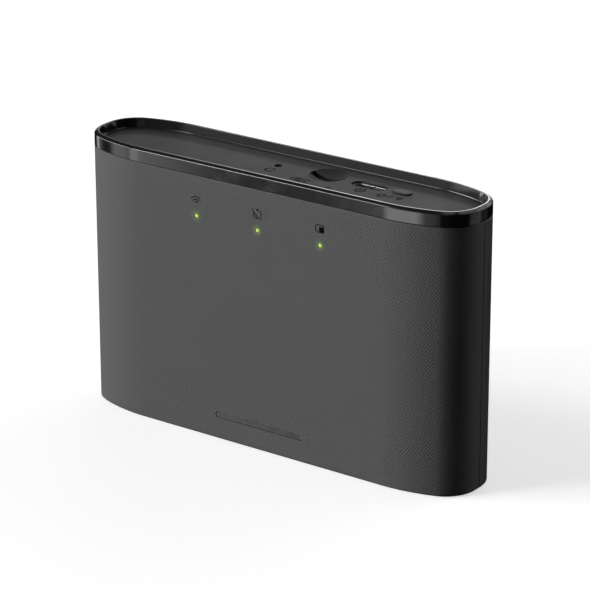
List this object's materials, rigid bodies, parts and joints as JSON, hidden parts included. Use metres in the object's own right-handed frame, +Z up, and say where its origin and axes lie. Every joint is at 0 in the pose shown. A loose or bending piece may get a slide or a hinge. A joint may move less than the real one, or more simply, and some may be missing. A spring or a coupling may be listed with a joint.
{
  "type": "mobile hotspot",
  "caption": "Upright pocket wireless router: two-shell rounded case, glossy trim band, recessed top panel with card slot, charging socket, reset pinhole and power button, and battery inside.",
  "frame": {"origin": "centre of the flat base, on the surface it stands on", "axes": "+Z up, +Y to the rear, +X to the right as seen from the front with the status lights"},
  "size_m": [0.106, 0.0226, 0.067],
  "materials": {
    "textured_case": "matt moulded plastic with a fine staggered dimple texture",
    "smooth_case": "smooth matt moulded plastic",
    "gloss_band": "high-gloss black with a polished chamfer",
    "satin_panel": "fine satin moulded plastic",
    "gloss_inlay": "gloss black",
    "button_plastic": "satin moulded plastic with softened edges",
    "switch_plunger": "off-white nylon",
    "switch_plastic": "black heat-resistant plastic",
    "stamped_steel": "tinned sheet steel",
    "contact_gold": "gold-plated copper alloy",
    "slider_plastic": "natural acetal",
    "spring_steel": "bright spring wire",
    "card_plastic": "dark card stock",
    "connector_steel": "nickel-plated stainless steel",
    "circuit_board": "green solder mask",
    "chip_epoxy": "black moulded epoxy",
    "ferrite": "grey ferrite",
    "capacitor_ceramic": "tan ceramic with tinned ends",
    "led_body": "pale yellow epoxy",
    "light_pipe": "clear acrylic lit yellow-green from behind",
    "frame_plastic": "dark grey moulded plastic",
    "screw_steel": "zinc-plated steel",
    "battery_foil": "heat-sealed aluminium foil pouch",
    "adhesive_tape": "double-sided tape",
    "foam": "black closed-cell foam",
    "red_insulation": "red wire insulation",
    "black_insulation": "black cable insulation",
    "plug_nylon": "natural nylon",
    "antenna_copper": "copper foil under amber film",
    "thermal_pad": "soft blue-grey silicone",
    "spreader_aluminium": "mill-finish aluminium sheet"
  },
  "bodies": {
    "casing": {"front_shell": "textured_case", "rear_shell": "smooth_case", "top_trim_ring": "gloss_band", "control_panel": "satin_panel", "front_inlay_strip": "gloss_inlay", "power_switch_body": "switch_plastic", "reset_switch_body": "switch_plastic", "sim_socket_base": "switch_plastic", "sim_socket_cover": "stamped_steel", "sim_contacts": "contact_gold", "sim_eject_spring": "spring_steel", "usb_c_shell": "connector_steel", "usb_c_tongue": "switch_plastic", "usb_c_contacts": "contact_gold", "main_board": "circuit_board", "modem_chip": "chip_epoxy", "modem_shield": "stamped_steel", "wifi_chip": "chip_epoxy", "wifi_shield": "stamped_steel", "power_chip": "chip_epoxy", "memory_chip": "chip_epoxy", "power_inductors": "ferrite", "capacitors": "capacitor_ceramic", "status_leds": "led_body", "light_pipes": "light_pipe", "inner_frame": "frame_plastic", "board_screws": "screw_steel", "frame_screws": "screw_steel", "battery_cell": "battery_foil", "battery_protection_board": "circuit_board", "battery_tape": "adhesive_tape", "battery_foam": "foam", "battery_lead_red": "red_insulation", "battery_lead_black": "black_insulation", "battery_plug": "plug_nylon", "battery_socket": "plug_nylon", "cellular_antenna_left": "antenna_copper", "cellular_antenna_right": "antenna_copper", "antenna_springs": "contact_gold", "wifi_antennas": "antenna_copper", "wifi_cables": "black_insulation", "thermal_pads": "thermal_pad", "heat_spreader": "spreader_aluminium"},
    "power_key": {"power_button": "button_plastic", "power_switch_plunger": "switch_plunger"},
    "reset_key": {"reset_switch_plunger": "switch_plunger"},
    "sim_ejector": {"sim_eject_slider": "slider_plastic"},
    "sim_card": {"nano_sim_card": "card_plastic"}
  },
  "joints": [
    {"name": "power_button_press", "type": "slide", "parent": "casing", "child": "power_key", "axis": [0, 0, -1], "range_m": [0, 0.0003]},
    {"name": "reset_button_press", "type": "slide", "parent": "casing", "child": "reset_key", "axis": [0, 0, -1], "range_m": [0, 0.00025]},
    {"name": "sim_ejector_slide", "type": "slide", "parent": "casing", "child": "sim_ejector", "axis": [0, 0, 1], "range_m": [-0.0004, 0.0024], "deforming": ["sim_eject_spring"]},
    {"name": "sim_card_withdraw", "type": "slide", "parent": "sim_ejector", "child": "sim_card", "axis": [0, 0, 1], "range_m": [0, 0.0125]}
  ]
}
